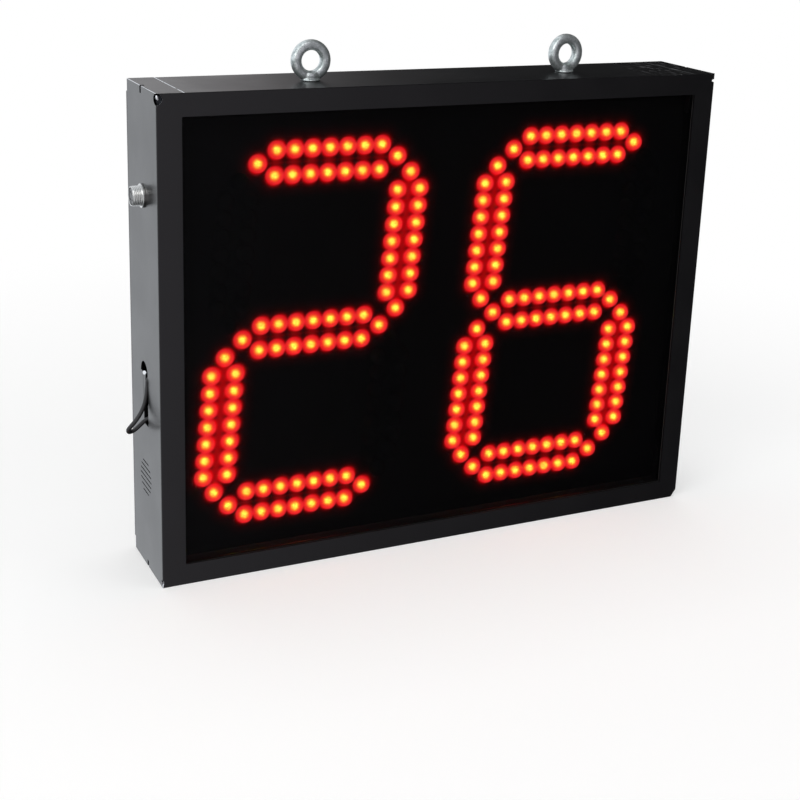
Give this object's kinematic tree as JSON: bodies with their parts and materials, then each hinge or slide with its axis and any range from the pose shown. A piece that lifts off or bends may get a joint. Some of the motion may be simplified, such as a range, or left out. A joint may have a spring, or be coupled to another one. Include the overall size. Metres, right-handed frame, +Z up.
{
  "type": "led lap counter",
  "caption": "Slim black metal case with large slanted LED digits behind a dark window, hung by eyebolts, with a side supply socket, a lead slot and a buzzer grille.",
  "frame": {"origin": "centre of the flat bottom face of the case, on the surface that it stands on", "axes": "+X to the right of someone who reads the digits, +Y from the window to the rear cover, +Z up"},
  "size_m": [0.3869, 0.0655, 0.3249],
  "materials": {
    "black_paint": "satin powder coat",
    "smoked_acrylic": "polished smoked sheet",
    "black_foam": "foam strip",
    "black_plastic": "matt",
    "zinc_steel": "bright zinc plating",
    "plain_steel": "plain sheet",
    "chrome": "nickel plated",
    "led_lit": "lit red lens",
    "led_dark": "unlit red lens",
    "circuit_board": "solder mask",
    "lead_black": "smooth jacket",
    "ribbon_grey": "flat cable"
  },
  "bodies": {
    "case": {"antenna_lead": "lead_black", "antenna_lead_anchor": "black_plastic", "buzzer": "black_plastic", "buzzer_lead": "lead_black", "buzzer_ring": "black_foam", "control_board": "circuit_board", "corner_cleat_bottom_left": "plain_steel", "corner_cleat_bottom_right": "plain_steel", "corner_cleat_top_left": "plain_steel", "corner_cleat_top_right": "plain_steel", "cover_screw_1": "zinc_steel", "cover_screw_2": "zinc_steel", "cover_screw_3": "zinc_steel", "cover_screw_4": "zinc_steel", "cover_screw_5": "zinc_steel", "cover_screw_6": "zinc_steel", "digit_board_left": "circuit_board", "digit_board_right": "circuit_board", "display_panel": "black_plastic", "eyebolt_bar": "plain_steel", "eyebolt_nut_left": "zinc_steel", "eyebolt_nut_right": "zinc_steel", "front_frame": "black_paint", "front_window": "smoked_acrylic", "left_end_panel": "black_paint", "panel_screw_1": "zinc_steel", "panel_screw_2": "zinc_steel", "panel_screw_3": "zinc_steel", "panel_screw_4": "zinc_steel", "power_module": "circuit_board", "radio_receiver": "circuit_board", "rear_cover": "black_paint", "ribbon_cable_left": "ribbon_grey", "ribbon_cable_right": "ribbon_grey", "right_end_panel": "black_paint", "segment_left_a": "led_lit", "segment_left_b": "led_lit", "segment_left_c": "led_dark", "segment_left_d": "led_lit", "segment_left_e": "led_lit", "segment_left_f": "led_dark", "segment_left_g": "led_lit", "segment_right_a": "led_lit", "segment_right_b": "led_dark", "segment_right_c": "led_lit", "segment_right_d": "led_lit", "segment_right_e": "led_lit", "segment_right_f": "led_lit", "segment_right_g": "led_lit", "supply_lead": "lead_black", "supply_socket_insert": "black_plastic", "supply_socket_nut": "chrome", "supply_socket_shell": "chrome", "supply_socket_washer": "zinc_steel", "window_gasket": "black_foam", "window_rail_bottom": "plain_steel", "window_rail_top": "plain_steel"},
    "eyebolt_left": {"eyebolt_left": "zinc_steel"},
    "eyebolt_right": {"eyebolt_right": "zinc_steel"}
  },
  "joints": [
    {"name": "eyebolt_left_turn", "type": "hinge", "parent": "case", "child": "eyebolt_left", "pos_m": [-0.0854, -0.002, 0.306], "axis": [0, 0, 1], "range_deg": [-90, 90]},
    {"name": "eyebolt_right_turn", "type": "hinge", "parent": "case", "child": "eyebolt_right", "pos_m": [0.0896, -0.002, 0.306], "axis": [0, 0, 1], "range_deg": [-90, 90]}
  ]
}
